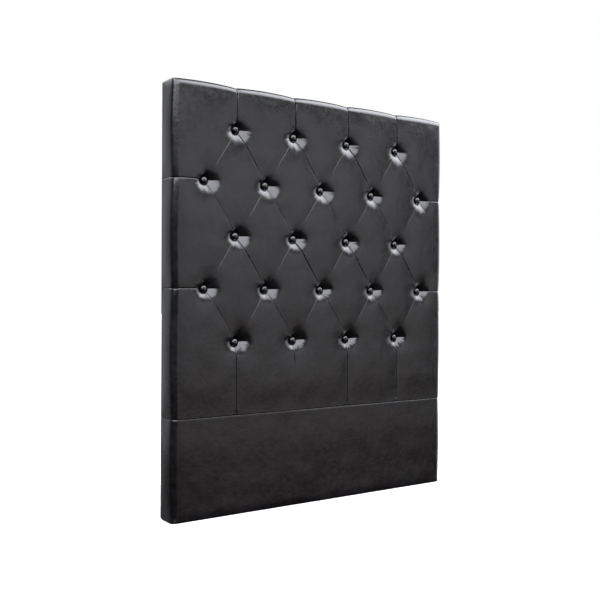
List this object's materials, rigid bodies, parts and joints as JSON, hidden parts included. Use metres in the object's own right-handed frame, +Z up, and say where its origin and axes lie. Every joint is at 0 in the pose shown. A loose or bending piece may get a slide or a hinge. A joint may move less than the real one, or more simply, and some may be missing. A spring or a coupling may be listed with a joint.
{
  "type": "tufted bed headboard",
  "caption": "Upright upholstered bed headboard panel in glossy faux leather, diamond-tufted with covered buttons above a plain skirt.",
  "frame": {"origin": "on the floor, below the middle of the panel's box", "axes": "+Z up the panel, +X along its width to the right seen from the front, -Y out of the padded front"},
  "size_m": [0.985, 0.0748, 1.2],
  "materials": {
    "leatherette": "glossy black faux leather with a fine grain",
    "softwood": "planed softwood",
    "board": "chipboard",
    "foam": "cream upholstery foam",
    "dust_cloth": "black nonwoven cloth",
    "twine": "waxed twine",
    "steel": "zinc-plated steel",
    "foot_plastic": "black moulded plastic"
  },
  "bodies": {
    "root": {"left_stile": "softwood", "right_stile": "softwood", "top_rail": "softwood", "middle_rail": "softwood", "skirt_rail": "softwood", "bottom_rail": "softwood", "skirt_post": "softwood", "corner_block_lower_left": "softwood", "corner_block_lower_right": "softwood", "corner_block_upper_left": "softwood", "corner_block_upper_right": "softwood", "front_board": "board", "tufted_foam": "foam", "skirt_foam": "foam", "tufted_cover": "leatherette", "skirt_cover": "leatherette", "dust_cover": "dust_cloth", "button_row1_1": "leatherette", "button_row1_2": "leatherette", "button_row1_3": "leatherette", "button_row1_4": "leatherette", "button_row2_1": "leatherette", "button_row2_2": "leatherette", "button_row2_3": "leatherette", "button_row2_4": "leatherette", "button_row2_5": "leatherette", "button_row3_1": "leatherette", "button_row3_2": "leatherette", "button_row3_3": "leatherette", "button_row3_4": "leatherette", "button_row4_1": "leatherette", "button_row4_2": "leatherette", "button_row4_3": "leatherette", "button_row4_4": "leatherette", "button_row4_5": "leatherette", "button_row5_1": "leatherette", "button_row5_2": "leatherette", "button_row5_3": "leatherette", "button_row5_4": "leatherette", "twine_row1": "twine", "twine_row2": "twine", "twine_row3": "twine", "twine_row4": "twine", "twine_row5": "twine", "left_hanging_plate": "steel", "right_hanging_plate": "steel", "left_plate_outer_screw": "steel", "left_plate_inner_screw": "steel", "right_plate_outer_screw": "steel", "right_plate_inner_screw": "steel", "left_foot_pad": "foot_plastic", "right_foot_pad": "foot_plastic"}
  },
  "joints": []
}
